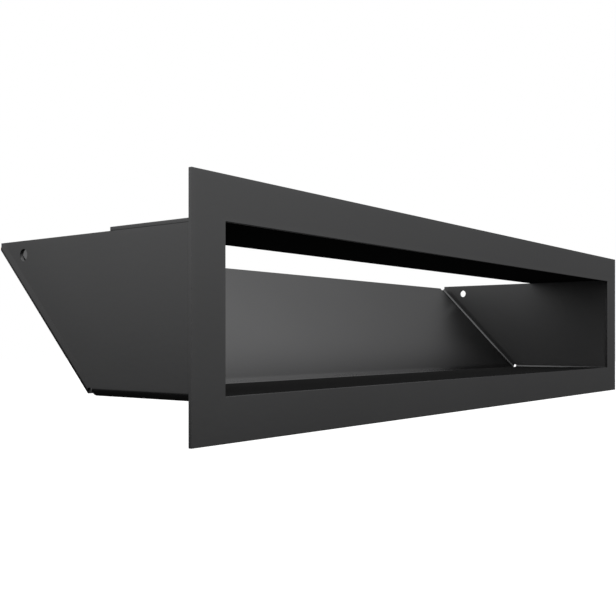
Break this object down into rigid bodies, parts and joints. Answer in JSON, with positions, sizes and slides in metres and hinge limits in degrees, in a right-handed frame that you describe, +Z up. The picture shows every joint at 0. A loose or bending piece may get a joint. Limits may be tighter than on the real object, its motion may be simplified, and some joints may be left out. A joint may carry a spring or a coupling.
{
  "type": "fireplace vent grille",
  "caption": "Wall-mounted fireplace vent: flat rectangular frame with a long slot window, and behind it a folded sheet-steel channel with a slanted back plate, open at the top.",
  "frame": {"origin": "middle of the front frame's rear face, which lies against the chimney breast", "axes": "+X along the frame's length, +Y into the wall, +Z up"},
  "size_m": [0.4, 0.1289, 0.09],
  "materials": {
    "powder_coat": "dark graphite powder coat, semi-gloss with a very fine texture"
  },
  "bodies": {
    "root": {"front_frame": "powder_coat", "duct_body": "powder_coat", "top_plate": "powder_coat"}
  },
  "joints": []
}
